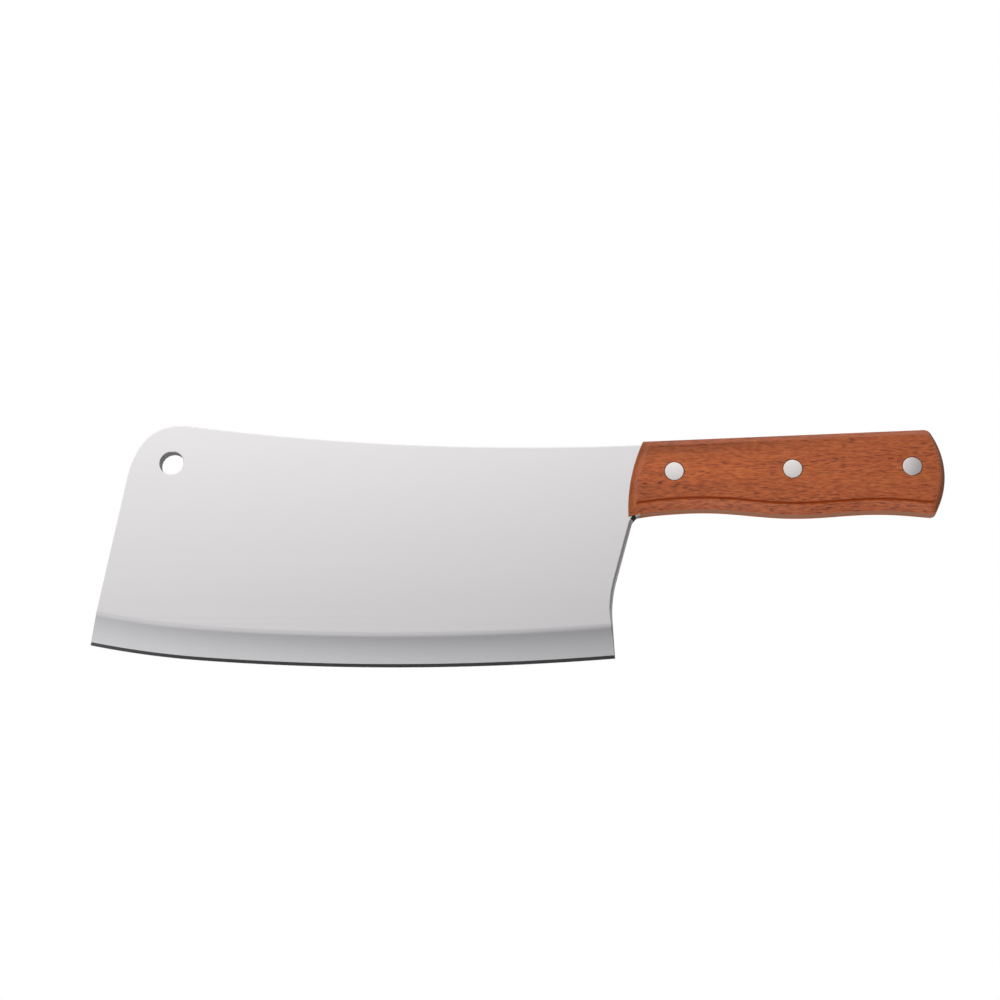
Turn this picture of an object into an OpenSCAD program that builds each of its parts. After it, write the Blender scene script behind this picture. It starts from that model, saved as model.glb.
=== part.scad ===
// Chinese cleaver with a full tang, two riveted wooden scales and a hang hole.
// It lies flat: X runs from tip to butt, Y from the cutting edge to the spine, Z is square to the blade.
// Sizes are laid out from the heel corner, at u = 0, and the lowest point of the cutting edge, at v = 0.

/* [Blade] */
// Length of the cutting edge, from the heel corner to the tip
blade_len = 203; // [180:1:220]
// Height from the lowest point of the cutting edge to the lowest point of the hollow spine
blade_h = 87.9; // [76:0.2:96]
// Thickness of the blade and its tang
blade_t = 4.5; // [3:0.1:6]
// Radius of the hollow spine
spine_r = 1020; // [700:10:1600]
// Distance from the heel corner back to the lowest point of the spine
spine_low_back = 33.4; // [20:0.1:60]
// Radius of the long arc of the cutting edge
edge_r = 1027; // [800:1:1600]
// Distance from the heel corner back to the lowest point of the cutting edge
edge_low_back = 91.4; // [70:0.1:110]
// Radius of the edge where it rises to the tip
edge_tip_r = 365; // [250:1:600]
// Distance from the lowest point back to where that rise begins
edge_rise_back = 66.7; // [50:0.1:80]
// Lean of the tip end from upright, in degrees
tip_lean = 7.9; // [4:0.1:12]
// Reach of the tip corner's round along the tip end
corner_down = 25; // [14:0.5:30]
// Reach of the tip corner's round along the spine
corner_along = 21; // [14:0.5:28]

/* [Heel] */
// Height of the heel's waist above the heel corner
waist_h = 22.8; // [16:0.1:32]
// How far the waist is drawn in from the heel corner
waist_in = 1.8; // [0:0.1:4]
// Reach of the soft bend at the waist
waist_bend = 7.7; // [4:0.1:14]
// Distance from the heel corner on to the throat, where the heel meets the grip
throat_out = 6.4; // [5:0.1:10]
// Reach of the small hollow in the throat
throat_bend = 3.5; // [1:0.5:8]

/* [Edge grind] */
// Width of the ground bevel on each side
bevel_w = 12.4; // [8:0.1:18]
// Width of the sharpened edge on each side
honed_w = 1.3; // [0.6:0.1:2]
// Thickness where the sharpened edge begins
honed_t = 0.8; // [0.4:0.1:1.2]
// Thickness left along the very edge
keen_t = 0.1; // [0.06:0.02:0.3]

/* [Hang hole] */
// Diameter of the hang hole
hang_d = 9.5; // [6:0.1:12]
// Distance from the hole's centre to the tip end
hang_from_tip = 16.4; // [13:0.1:25]
// Distance from the hole's centre to the spine
hang_from_spine = 16.1; // [13:0.1:25]

/* [Grip] */
// Length of the grip
grip_len = 120.5; // [110:0.1:140]
// Distance from the heel corner on to the front of the grip
grip_out = 4.5; // [3:0.1:6]
// Height of the underside's front above the lowest point of the cutting edge
grip_up = 61.8; // [54:0.1:66]
// How far the underside falls from the front of the grip to its butt
grip_drop = 1; // [0:0.1:3]
// Height of the grip at its front
grip_front_h = 27.9; // [26:0.1:32]
// Height of the grip at its butt
grip_butt_h = 33.9; // [30:0.1:38]
// Depth of the finger waves in the underside, crest to hollow
wave_depth = 1.9; // [0:0.1:3]
// Length of one finger wave
wave_len = 66.7; // [60:0.1:76]
// Distance from the front of the grip to the belly of its middle wave
wave_back = 63.1; // [56:0.1:68]
// How far the underside dips at the front of the grip
front_dip = 1.2; // [0:0.1:3]
// Length over which that dip runs out
dip_len = 13; // [6:0.5:20]
// Radius of the grip's front end
front_r = 67; // [40:1:80]
// Height of the foremost point above the underside
front_up = 1.5; // [0:0.1:8]
// Radius of the butt
butt_r = 31.8; // [28:0.1:50]
// Height of the hindmost point above the underside
butt_up = 15.4; // [12:0.1:18]
// Reach of the eased corners of the butt
butt_ease = 1.5; // [1:0.1:4]
// Length of the ramp that lifts the tang from the spine to the top of the grip
tang_ramp = 0.8; // [0.4:0.1:2]

/* [Scales] */
// Thickness of each wooden scale
scale_t = 5.5; // [4:0.1:9]
// Width of the facet around the scale's outer face
facet_w = 3.4; // [2:0.1:4]
// Width of the facet at the butt, where it is steeper
butt_facet_w = 2.1; // [1.4:0.1:4]
// Straight side of the scale next to the tang
side_t = 0.8; // [0.4:0.1:2]
// Height of the small step between the facet and the outer face
step_h = 0.4; // [0.2:0.1:0.8]

/* [Rivets] */
// Diameter of a rivet's head
head_d = 7.4; // [6:0.1:9]
// Thickness of a rivet's head
head_t = 1.4; // [0.8:0.1:1.8]
// Outer diameter of a rivet's socket
socket_d = 5; // [4:0.1:5.4]
// Diameter of a rivet's stud
stud_d = 3; // [2:0.1:3.4]
// Distance between rivets
rivet_pitch = 45.1; // [38:0.1:46]
// Distance from the front of the grip to the first rivet
rivet_in = 17.7; // [14:0.1:20]
// Height of the rivets above the line halfway between the grip's top and the level of its underside's front
rivet_up = 0.1; // [-1:0.1:1.5]
// Gap around each rivet in its hole
rivet_gap = 0.05; // [0.02:0.01:0.2]
// Depth by which the socket reaches past the tang into the far scale
socket_past = 1.2; // [0.5:0.1:1.5]
// Room left under the end of the stud
stud_room = 1; // [0.5:0.1:2]
// Metal left under the socket's bore
socket_floor = 2; // [1:0.1:2.5]

/* [Hidden] */
$fn = 96;
total_t = blade_t + 2 * scale_t;
mid_z = total_t / 2;
// How far a cut runs on past what it cuts
beyond = 5;
// Straight pieces in a long, a middling and a short stretch of an outline
long_n = 60;
middle_n = 24;
short_n = 6;
// Pull of a corner on its round: at 1 a parabola, near 0.7 a circular arc for a square corner
bend_pull = 1;
arc_pull = 0.7;
throat_pull = 0.8;

// Cutting edge: two arcs that share a tangent where the rise begins
edge_c = [-edge_low_back, edge_r];
rise_a = 270 - asin(edge_rise_back / edge_r);
rise_p = edge_c + edge_r * [cos(rise_a), sin(rise_a)];
tip_c = rise_p + edge_tip_r * (edge_c - rise_p) / edge_r;
tip_a = 270 - asin((tip_c.x + blade_len) / edge_tip_r);
heel_a = 270 + asin(edge_low_back / edge_r);
tip_p = tip_c + edge_tip_r * [cos(tip_a), sin(tip_a)];
heel_p = edge_c + edge_r * [cos(heel_a), sin(heel_a)];

// Spine: one hollow arc, which the straight tip end meets at the tip corner
spine_c = [-spine_low_back, blade_h + spine_r];
tip_dir = [sin(tip_lean), cos(tip_lean)];
tip_b = tip_dir * (tip_p - spine_c);
tip_reach = -tip_b - sqrt(tip_b * tip_b - (tip_p - spine_c) * (tip_p - spine_c) + spine_r * spine_r);
corner_p = tip_p + tip_reach * tip_dir;
corner_a = atan2(corner_p.y - spine_c.y, corner_p.x - spine_c.x);
spine_from_a = corner_a + turn(corner_along, spine_r);

// Hang hole: a set distance in from the tip end and down from the spine
hang_p = corner_p - hang_from_spine * tip_dir / cos(tip_lean)
         + hang_from_tip * [cos(tip_lean), -sin(tip_lean)];

// Grip: a straight top, a waved underside that falls to the butt, and a round at each end
front_u = grip_out;
butt_u = grip_out + grip_len;
top_slope = (grip_butt_h - grip_drop - grip_front_h) / grip_len;
front_c = [front_u + front_r, grip_up + front_up];
butt_c = [butt_u - butt_r, grip_up - grip_drop + butt_up];
wave_u = front_u + wave_back;

RIVETS = [for (i = [0:2]) let (u = front_u + rivet_in + i * rivet_pitch)
    [u, (top_v(u, 0) + grip_up) / 2 + rivet_up]];

function top_v(u, g) =
    grip_up + grip_front_h + top_slope * (u - front_u) - g * sqrt(1 + top_slope * top_slope);
function under_v(u, g) =
    grip_up - grip_drop * (u - front_u) / grip_len - wave_depth / 2 * cos(360 * (u - wave_u) / wave_len)
    - front_dip * pow(max(1 - (u - front_u) / dip_len, 0), 2) + g;
function arc_run(c, r, a0, a1, n) =
    [for (i = [0:n]) let (a = a0 + (a1 - a0) * i / n) c + r * [cos(a), sin(a)]];
// Angle that a reach along a circle of radius r takes up
function turn(reach, r) = reach / r * 180 / PI;
// A conic from p to q that the corner pulls outward
function blend(p, corner, q, pull, n) =
    [for (i = [0:n]) let (t = i / n, a = (1 - t) * (1 - t), b = 2 * pull * t * (1 - t), c = t * t)
        (a * p + b * corner + c * q) / (a + b + c)];
// Angle on a circle of radius r about c where it meets the grip's top, on the side given by s
function top_angle(c, r, g, s) = let (
        n = [-top_slope, 1] / sqrt(1 + top_slope * top_slope),
        h = n * ([c.x, top_v(c.x, g)] - c),
        lean = atan(top_slope))
    90 + lean - s * acos(h / r);
// Angle on a circle where it meets the waved underside, found by closing in twice
function under_angle(c, r, g, s) = let (
        u0 = c.x + s * sqrt(r * r - pow(under_v(c.x + s * r, g) - c.y, 2)),
        u1 = c.x + s * sqrt(r * r - pow(under_v(u0, g) - c.y, 2)))
    s > 0 ? asin((under_v(u1, g) - c.y) / r) : 180 - asin((under_v(u1, g) - c.y) / r);

// The butt from the underside up to the top, with both corners eased
function butt_run(g) = let (
        r = butt_r - g * butt_facet_w / facet_w,
        low = under_angle(butt_c, r, g, 1),
        high = top_angle(butt_c, r, g, 1),
        ease_a = turn(butt_ease, r),
        low_p = butt_c + r * [cos(low), sin(low)],
        high_p = butt_c + r * [cos(high), sin(high)],
        low_u = low_p.x - butt_ease,
        high_u = high_p.x - butt_ease,
        arc = arc_run(butt_c, r, low + ease_a, high - ease_a, middle_n))
    concat(blend([low_u, under_v(low_u, g)], low_p, arc[0], arc_pull, short_n),
           [for (i = [1:middle_n - 1]) arc[i]],
           blend(arc[middle_n], high_p, [high_u, top_v(high_u, g)], arc_pull, short_n));
// The front end from the top down to the underside
function front_run(g) = let (
        r = front_r - g,
        high = top_angle(front_c, r, g, -1),
        low = under_angle(front_c, r, g, -1))
    arc_run(front_c, r, high, low, middle_n);
// The underside between two places along the grip, without its ends
function wave_run(from_u, to_u, g, n) =
    [for (i = [1:n - 1]) let (u = from_u + (to_u - from_u) * i / n) [u, under_v(u, g)]];

// Outline of a scale, drawn in by g, and by less at the butt
function grip_outline(g) = let (
        front = front_run(g),
        butt = butt_run(g))
    concat(front, wave_run(front[middle_n].x, butt[0].x, g, long_n), butt);

// Outline of the steel: heel, tang, spine, tip corner, tip end, then back along the edge
function steel_outline() = let (
        waist = heel_p + [-waist_in, waist_h],
        throat = [throat_out, under_v(throat_out, 0)],
        to_waist = (waist - heel_p) / norm(waist - heel_p),
        to_throat = (throat - waist) / norm(throat - waist),
        throat_end_u = throat_out + throat_bend,
        butt = butt_run(0),
        front_top = front_run(0)[0],
        ramp_u = front_top.x + tang_ramp,
        front_a = 270 + asin((front_top.x - spine_c.x) / spine_r))
    concat(
        blend(waist - waist_bend * to_waist, waist, waist + waist_bend * to_throat, bend_pull, middle_n),
        blend(throat - throat_bend * to_throat, throat, [throat_end_u, under_v(throat_end_u, 0)],
              throat_pull, short_n),
        wave_run(throat_end_u, butt[0].x, 0, long_n),
        butt,
        [[ramp_u, top_v(ramp_u, 0)]],
        arc_run(spine_c, spine_r, front_a, spine_from_a + 360, long_n),
        blend(spine_c + spine_r * [cos(spine_from_a), sin(spine_from_a)], corner_p,
              corner_p - corner_down * tip_dir, bend_pull, middle_n),
        edge_run());

// The cutting edge from the tip to the heel corner
function edge_run() = let (arc = arc_run(edge_c, edge_r, rise_a, heel_a, long_n))
    concat(arc_run(tip_c, edge_tip_r, tip_a, rise_a, middle_n), [for (i = [1:long_n]) arc[i]]);

// Stations along the edge for the grind, each a place and the outward direction, run on past both ends
function grind_stations() = let (
        past_tip = tip_a - turn(beyond, edge_tip_r),
        past_heel = heel_a + turn(beyond, edge_r))
    concat(
        [for (i = [0:middle_n]) let (a = past_tip + (rise_a - past_tip) * i / middle_n)
            [tip_c + edge_tip_r * [cos(a), sin(a)], [cos(a), sin(a)]]],
        [for (i = [1:long_n]) let (a = rise_a + (past_heel - rise_a) * i / long_n)
            [edge_c + edge_r * [cos(a), sin(a)], [cos(a), sin(a)]]]);

OUTLINE = steel_outline();
GRIP = grip_outline(0);
// The origin is under the middle of the whole cleaver
CENTRE = [(min([for (p = OUTLINE) p.x]) + max([for (p = concat(OUTLINE, GRIP)) p.x])) / 2,
          (min([for (p = OUTLINE) p.y]) + max([for (p = concat(OUTLINE, GRIP)) p.y])) / 2];

// What the grinder takes off one face: a wedge carried along the edge
module grind_wedge() {
    stations = grind_stations();
    // Distance outward from the edge, and height above the middle of the blade
    wedge = [[beyond, keen_t / 2], [0, keen_t / 2], [-honed_w, honed_t / 2], [-bevel_w, blade_t / 2],
             [-bevel_w, blade_t], [beyond, blade_t]];
    n = len(wedge);
    m = len(stations);
    points = [for (s = stations) for (w = wedge) [each (s[0] + w[0] * s[1]), w[1]]];
    sides = [for (i = [0:m - 2]) for (j = [0:n - 1])
        [i * n + j, (i + 1) * n + j, (i + 1) * n + (j + 1) % n, i * n + (j + 1) % n]];
    ends = [[for (j = [0:n - 1]) j], [for (j = [n - 1:-1:0]) (m - 1) * n + j]];
    polyhedron(points, concat(sides, ends), convexity = 6);
}

module blade() {
    color("#d8d7d9")
    translate([-CENTRE.x, -CENTRE.y, mid_z])
    difference() {
        translate([0, 0, -blade_t / 2])
            linear_extrude(blade_t)
                polygon(OUTLINE);
        grind_wedge();
        mirror([0, 0, 1])
            grind_wedge();
        translate([each hang_p, -blade_t])
            cylinder(d = hang_d, h = 2 * blade_t);
        for (p = RIVETS)
            translate([each p, -blade_t])
                cylinder(d = socket_d + 2 * rivet_gap, h = 2 * blade_t);
    }
}

// One scale, on the side of the tang that faces up
module scale() {
    face = grip_outline(facet_w);
    n = len(GRIP);
    points = concat([for (p = GRIP) [each p, 0]],
                    [for (p = GRIP) [each p, side_t]],
                    [for (p = face) [each p, scale_t - step_h]],
                    [for (p = face) [each p, scale_t]]);
    sides = [for (k = [0:2]) for (i = [0:n - 1])
        [k * n + i, (k + 1) * n + i, (k + 1) * n + (i + 1) % n, k * n + (i + 1) % n]];
    ends = [[for (i = [0:n - 1]) i], [for (i = [n - 1:-1:0]) 3 * n + i]];
    difference() {
        polyhedron(points, concat(sides, ends), convexity = 6);
        for (p = RIVETS) {
            translate([each p, -beyond])
                cylinder(d = socket_d + 2 * rivet_gap, h = scale_t + 2 * beyond);
            translate([each p, scale_t - head_t])
                cylinder(d = head_d + 2 * rivet_gap, h = head_t + beyond);
        }
    }
}

module scale_front() {
    color("#a85a36")
    translate([-CENTRE.x, -CENTRE.y, mid_z + blade_t / 2])
        scale();
}

module scale_back() {
    color("#a85a36")
    translate([-CENTRE.x, -CENTRE.y, mid_z - blade_t / 2])
        mirror([0, 0, 1])
            scale();
}

module rivet_stud(i) {
    socket_top = mid_z + blade_t / 2 + socket_past;
    stud_end = head_t + socket_floor + stud_room;
    color("#cdc9c6")
    translate([RIVETS[i].x - CENTRE.x, RIVETS[i].y - CENTRE.y, 0]) {
        translate([0, 0, total_t - head_t])
            cylinder(d = head_d, h = head_t);
        translate([0, 0, stud_end])
            cylinder(d = stud_d, h = total_t - head_t / 2 - stud_end);
        translate([0, 0, socket_top])
            cylinder(d = socket_d, h = total_t - head_t / 2 - socket_top);
    }
}

module rivet_socket(i) {
    socket_top = mid_z + blade_t / 2 + socket_past;
    color("#cdc9c6")
    translate([RIVETS[i].x - CENTRE.x, RIVETS[i].y - CENTRE.y, 0])
    difference() {
        union() {
            cylinder(d = head_d, h = head_t);
            cylinder(d = socket_d, h = socket_top);
        }
        translate([0, 0, head_t + socket_floor])
            cylinder(d = stud_d, h = socket_top);
    }
}

blade();
scale_front();
scale_back();
rivet_stud(0);  // rivet_stud_front
rivet_stud(1);  // rivet_stud_middle
rivet_stud(2);  // rivet_stud_rear
rivet_socket(0);  // rivet_socket_front
rivet_socket(1);  // rivet_socket_middle
rivet_socket(2);  // rivet_socket_rear
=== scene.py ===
"""Chinese cleaver: a full-tang steel blade, two lacquered wooden scales and three pressed rivets.

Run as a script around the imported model. Lengths are in metres and angles in radians. Outlines are laid out
from the heel corner, at u = 0, and the lowest point of the cutting edge, at v = 0, and are then shifted onto
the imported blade. X runs from the tip to the butt, Y from the cutting edge to the spine.
"""

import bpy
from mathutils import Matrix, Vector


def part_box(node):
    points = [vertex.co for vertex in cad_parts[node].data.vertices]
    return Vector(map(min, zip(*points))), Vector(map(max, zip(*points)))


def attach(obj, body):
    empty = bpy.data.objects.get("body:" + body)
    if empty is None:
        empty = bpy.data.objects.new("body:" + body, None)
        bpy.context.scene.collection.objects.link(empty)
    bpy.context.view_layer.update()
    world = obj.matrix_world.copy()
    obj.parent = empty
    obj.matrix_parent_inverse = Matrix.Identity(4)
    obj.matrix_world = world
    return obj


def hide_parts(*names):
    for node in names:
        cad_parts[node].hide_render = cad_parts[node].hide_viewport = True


bl_info = {
    "name": "Chinese Cleaver",
    "version": (1, 0, 0),
    "blender": (4, 5, 0),
    "location": "View3D > Sidebar > Cleaver",
    "description": "Builds a riveted full-tang cleaver around its packed model",
    "category": "Add Mesh",
}

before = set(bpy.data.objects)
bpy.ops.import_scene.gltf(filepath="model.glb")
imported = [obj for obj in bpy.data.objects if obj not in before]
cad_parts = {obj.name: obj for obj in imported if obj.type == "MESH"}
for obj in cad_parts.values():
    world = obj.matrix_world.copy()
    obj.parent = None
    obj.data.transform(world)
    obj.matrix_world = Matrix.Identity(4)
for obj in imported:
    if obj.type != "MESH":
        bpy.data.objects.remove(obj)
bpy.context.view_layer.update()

import math

import bmesh
import bpy
import numpy as np
from bpy.props import FloatProperty, FloatVectorProperty, PointerProperty
from mathutils import Matrix, Vector
from mathutils.geometry import delaunay_2d_cdt

BODY = "root"
SIDES = ("front", "back")
RIVET_PLACES = ("front", "middle", "rear")
# Angle of a direction straight down
DOWNWARD = 1.5 * math.pi
# Pull of a corner on its round: at 1 a parabola, near 0.7 a circular arc for a square corner
BEND_PULL, ARC_PULL, THROAT_PULL, CREASE_PULL = 1.0, 0.7, 0.8, 0.8
# Points along the stretches of the grip's outline
FRONT_POINTS, UNDER_POINTS, BUTT_POINTS, EASE_POINTS, TOP_POINTS = 49, 119, 57, 9, 66
# Points along the other stretches of the steel's outline, the edge's and the grind's in two arcs each
BEND_POINTS, THROAT_POINTS, SPINE_POINTS, CORNER_POINTS, TIP_POINTS, HEEL_POINTS = 31, 15, 141, 61, 241, 71
EDGE_POINTS, GRIND_POINTS, GRIND_LINES, CIRCLE_POINTS = (61, 181), (160, 320), 9, 72
# Points round the steel's eased rim, and round a corner in the section of a scale and of a rivet
RIM_POINTS, SCALE_CORNER, RIVET_CORNER = 6, 5, 4
# Space between the grind's lines round the honed edge's border, as a share of its width
BORDER_STEP = 0.05
# Most of a side, or of half the steel's thickness, that an easing takes
EASE_SHARE = 0.45
# Level strip inside an eased edge, and room kept between it and the grind's lines, in edge breaks
STRIP, STRIP_ROOM = 0.5, 0.3
# Points nearer than WELD become one, and edges that turn by more than SHARP_ANGLE stay sharp
WELD, SHARP_ANGLE = 2e-7, math.radians(28)
# Radius at which a turned profile ends, next to its axis
AXIS = 1e-5
# Zones of the blade's surface, in the order of its materials; the last paints shade in the throat's hollow
SATIN, BEVEL, HONED, TANG, THROAT_SHADE = range(5)
# Where the painted shade in the throat's hollow ends and the tang's lacquer starts, in throat bends past the
# throat
THROAT_SHADE_END, LACQUER_START = 0.4, 0.8
# Grinding marks: turn about Z in degrees, fine and broad stretch per metre, contrast, and depth in metres
MARKS = {
    "Satin Steel": (0, (5, 900, 5), (4, 60, 4), 0.012, 6e-7),
    "Ground Bevel": (0, (1600, 30, 30), (120, 8, 8), 0.02, 1e-6),
    "Honed Edge": (0, (2400, 60, 60), (300, 30, 30), 0.03, 1e-6),
    "Lacquered Tang": (0, (60, 1500, 1500), (20, 300, 300), 0.15, 4e-6),
    # Painted shade: near-black marks for the throat's hollow, which lies in shade under the grip
    "Painted Throat Shade": (0, (900, 900, 900), (300, 300, 300), 0.3, 1e-5),
    "Ground Aluminium": (20, (40, 2600, 40), (60, 700, 60), 0.05, 2e-6),
}
# Noise of the marks: its roughness and the range that is kept, then the stretch and detail of both sizes
MARK_NOISE, MARK_RANGE = 0.6, (0.25, 0.75)
MARK_SIZES = {"Fine": ("Stretch", 3.0), "Broad": ("Broad Stretch", 2.0)}
# Share of the fine marks in the look of both, and parts by which marks and fibres vary the roughness
FINE_SHARE, MARK_GLOSS, FIBRE_GLOSS = 0.6, 0.15, 0.1
# Streaks in the wood: stretch per metre, detail and roughness of the noise, and the range that is kept
STREAKS = {
    "bands": ((12, 130, 130), 3.0, 0.55, 0.32, 0.68),
    "mottle": ((330, 1500, 1500), 2.0, 0.5, 0.34, 0.66),
    "fibres": ((100, 1400, 1400), 4.0, 0.65, 0.3, 0.7),
    "pores": ((330, 1800, 1800), 1.0, 0.4, 0.58, 0.67),
}
# Shares of three kinds of streak in the wood's tone, and the tones of its dark, body and light colours
TONE_SHARES = {"mottle": 0.5, "bands": 0.2, "fibres": 0.3}
DARK_TONE, BODY_TONE, LIGHT_TONE = 0.25, 0.5, 0.75
# Bands between which the pores thin out, what is left of them, and how strongly they and end grain show
PORE_BANDS, PORES_LEFT, PORE_STRENGTH, END_STRENGTH = (0.25, 0.85), 0.3, 0.8, 0.7
# The wood's relief: its depth and strength, and the height of fibres to that of pores
RELIEF, RELIEF_STRENGTH, FIBRE_HEIGHT = 0.00006, 0.6, 0.3
# Tone by depth below the line of the grip's top, darker just inside the top crease and lighter across the
# middle: the depth that its curve spans, and its shade at depths below that line
DEPTH_SPAN = 0.03
DEPTH_TONES = [(0.0032, 1.0), (0.0036, 0.7), (0.005, 0.75), (0.0075, 0.94), (0.011, 1.18), (0.017, 1.18),
        (0.0215, 0.9), (0.024, 1.0)]
# Brightest shade that the depth tone's curve holds, and the share of the depth tone that fades along the grip
TONE_FULL, DEPTH_TONE_LOSS = 2.0, 0.75
# Places along X between which the depth tone fades, and between which the grip's front and butt darken
DEPTH_TONE_FADE, FRONT_FADE, BUTT_FADE = (0.08, 0.115), (0.065, 0.045), (0.13, 0.16)
END_SHADE = 0.92
# Marks on the wood: size past which a cell is dull, strength of the painted shade at the lower crease
# and at its step, and width of the strip that ends the face, in crease eases
DULL_MARK, CREASE_LEVEL, STEP_SHADE, FACE_STRIP = 0.45, 1.25, 0.5, 3
# End grain: strength at the tang, how fast it falls as the outline turns, and its share at the front
GRAIN_LEVEL, GRAIN_FALL, FRONT_GRAIN = 1.3, 1.4, 0.6
# Brightest radiance of the light tent, and its radiance along Y on the tip's and on the butt's side
PEAK = 2.0
TIP_SIDE = [(-1.0, 1.05), (-0.6, 1.0), (-0.3, 0.75), (-0.15, 0.71), (0.02, 0.96), (0.12, 0.84),
            (0.2, 0.76), (0.3, 1.13), (0.42, 1.57), (0.55, 1.8), (0.75, 1.4), (1.0, 1.1)]
BUTT_SIDE = [(-1.0, 1.05), (-0.6, 1.0), (-0.3, 0.6), (-0.15, 0.43), (0.02, 0.66), (0.12, 0.58),
             (0.22, 0.46), (0.3, 1.0), (0.42, 1.43), (0.55, 1.65), (0.75, 1.3), (1.0, 1.1)]
# Where one side gives way to the other along X, and the share of the radiance that is left along X
SIDE_FADE = (-0.3, 0.02)
LENGTHWISE = [(-1.0, 0.8), (-0.6, 0.9), (-0.35, 1.0), (0.085, 1.0), (0.107, 0.75), (0.128, 0.375),
              (0.35, 0.375), (0.6, 0.45), (1.0, 0.3)]
# Patches of the tent: direction, reach along each axis, fade from and to in reaches, and share of PEAK
CAMERA_SHADE = ((-0.13, -0.36, 0.92), (0.55, 0.2, 1.0), 0.75, 1.1, 0.03)
LAMP_BOX = ((-0.15, -0.95, 0.15), (1.0, 1.0, 1.0), 0.1, 0.35, 2.0)
# Width of the camera's sensor in mm, and the floor's pale grey, which lights the cleaver from below
SENSOR_WIDTH, FLOOR_GREY = 36, 0.8


def length(name, default, description):
    """A property that holds a length in metres."""
    return FloatProperty(name=name, description=description, default=default, unit="LENGTH", precision=5)


def angle(name, degrees, description):
    """A property that holds an angle."""
    return FloatProperty(name=name, description=description, default=math.radians(degrees), subtype="ANGLE")


def share(name, default, description):
    """A property that holds a number from 0 to 1."""
    return FloatProperty(name=name, description=description, default=default, min=0, max=1, subtype="FACTOR")


def colour(name, default, description):
    """A property that holds a linear colour."""
    return FloatVectorProperty(name=name, description=description, default=default, size=3, min=0, max=1,
                               subtype="COLOR")


class CleaverBladeSizes(bpy.types.PropertyGroup):
    """Sizes of the blade, its edge grind and its hang hole"""
    edge_length: length("Edge length", 0.203, "Length of the cutting edge, heel corner to tip")
    height: length("Height", 0.0879, "From the lowest point of the edge to that of the spine")
    thickness: length("Thickness", 0.0045, "Thickness of the blade and its tang")
    spine_radius: length("Spine radius", 1.02, "Radius of the hollow spine")
    spine_low_back: length("Spine low point", 0.0334, "From the heel corner back to the spine's lowest point")
    edge_radius: length("Edge radius", 1.027, "Radius of the edge's long arc")
    edge_low_back: length("Edge low point", 0.0914, "From the heel corner back to the edge's lowest point")
    rise_radius: length("Rise radius", 0.365, "Radius of the edge's rise to the tip")
    rise_back: length("Rise start", 0.0667, "From the edge's lowest point back to its rise")
    tip_lean: angle("Tip lean", 7.9, "Lean of the tip end from upright")
    corner_down: length("Corner down", 0.025, "Reach of the tip corner's round along the tip end")
    corner_along: length("Corner along", 0.021, "Reach of the tip corner's round along the spine")
    waist_height: length("Waist height", 0.0228, "Height of the heel's waist above the heel corner")
    waist_in: length("Waist in", 0.0018, "How far the waist lies in from the heel corner")
    waist_bend: length("Waist bend", 0.0077, "Reach of the soft bend at the waist")
    throat_out: length("Throat out", 0.0064, "From the heel corner on to the throat")
    throat_bend: length("Throat bend", 0.0035, "Reach of the hollow in the throat")
    bevel_width: length("Bevel width", 0.0124, "Width of the ground bevel")
    bevel_hollow: length("Bevel hollow", 0.00012, "Depth of the bevel's hollow")
    shoulder_ease: length("Shoulder ease", 0.0002, "Height over which the bevel's shoulder is softened")
    honed_width: length("Honed width", 0.0013, "Width of the sharpened edge")
    honed_thickness: length("Honed thickness", 0.0008, "Thickness where the sharpened edge begins")
    keen_thickness: length("Keen thickness", 0.0001, "Thickness left along the very edge")
    hang_diameter: length("Hang hole", 0.0095, "Diameter of the hang hole")
    hang_from_tip: length("Hole from tip", 0.0164, "From the hole's centre to the tip end")
    hang_from_spine: length("Hole from spine", 0.0161, "From the hole's centre to the spine")
    tang_ramp: length("Tang ramp", 0.0008, "Ramp that lifts the tang from the spine to the grip's top")
    edge_break: length("Edge break", 0.00025, "Radius to which the stamped edges are eased")
    heel_break: length("Heel break", 0.001, "Radius to which the heel and the throat are rounded")


class CleaverGripSizes(bpy.types.PropertyGroup):
    """Sizes of the wooden grip"""
    length: length("Length", 0.1205, "Length of the grip")
    out: length("Out", 0.0045, "From the heel corner on to the front of the grip")
    up: length("Up", 0.0618, "Height of the underside's front above the lowest point of the edge")
    drop: length("Drop", 0.001, "How far the underside falls from the front to the butt")
    front_height: length("Front height", 0.0279, "Height of the grip at its front")
    butt_height: length("Butt height", 0.0339, "Height of the grip at its butt")
    wave_depth: length("Wave depth", 0.0019, "Depth of the finger waves, crest to hollow")
    wave_length: length("Wave length", 0.0667, "Length of one finger wave")
    wave_back: length("Wave place", 0.0631, "From the front of the grip to the belly of the middle wave")
    front_dip: length("Front dip", 0.0012, "How far the underside dips at the front")
    dip_length: length("Dip length", 0.013, "Length over which the front's dip runs out")
    front_radius: length("Front radius", 0.067, "Radius of the front end")
    front_up: length("Front up", 0.0015, "Height of the foremost point above the underside")
    butt_radius: length("Butt radius", 0.0318, "Radius of the butt")
    butt_up: length("Butt up", 0.0154, "Height of the hindmost point above the underside")
    butt_ease: length("Butt ease", 0.0015, "Reach of the butt's eased corners")
    scale_thickness: length("Scale thickness", 0.0055, "Thickness of each wooden scale")
    facet_width: length("Facet width", 0.0034, "Width of the facet round the scale's outer face")
    butt_facet_width: length("Butt facet width", 0.0021, "Width of the steeper facet at the butt")
    side_height: length("Side height", 0.0008, "Straight side of the scale next to the tang")
    step_height: length("Step height", 0.0004, "Height of the step between facet and outer face")
    crease_ease: length("Crease ease", 0.0003, "Reach of the eased creases")
    crease_fade: length("Crease fade", 0.0007, "Width over which the dark line below the crease fades")
    facet_crown: length("Facet crown", 0.00012, "How far the facet bulges in its middle")


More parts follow.
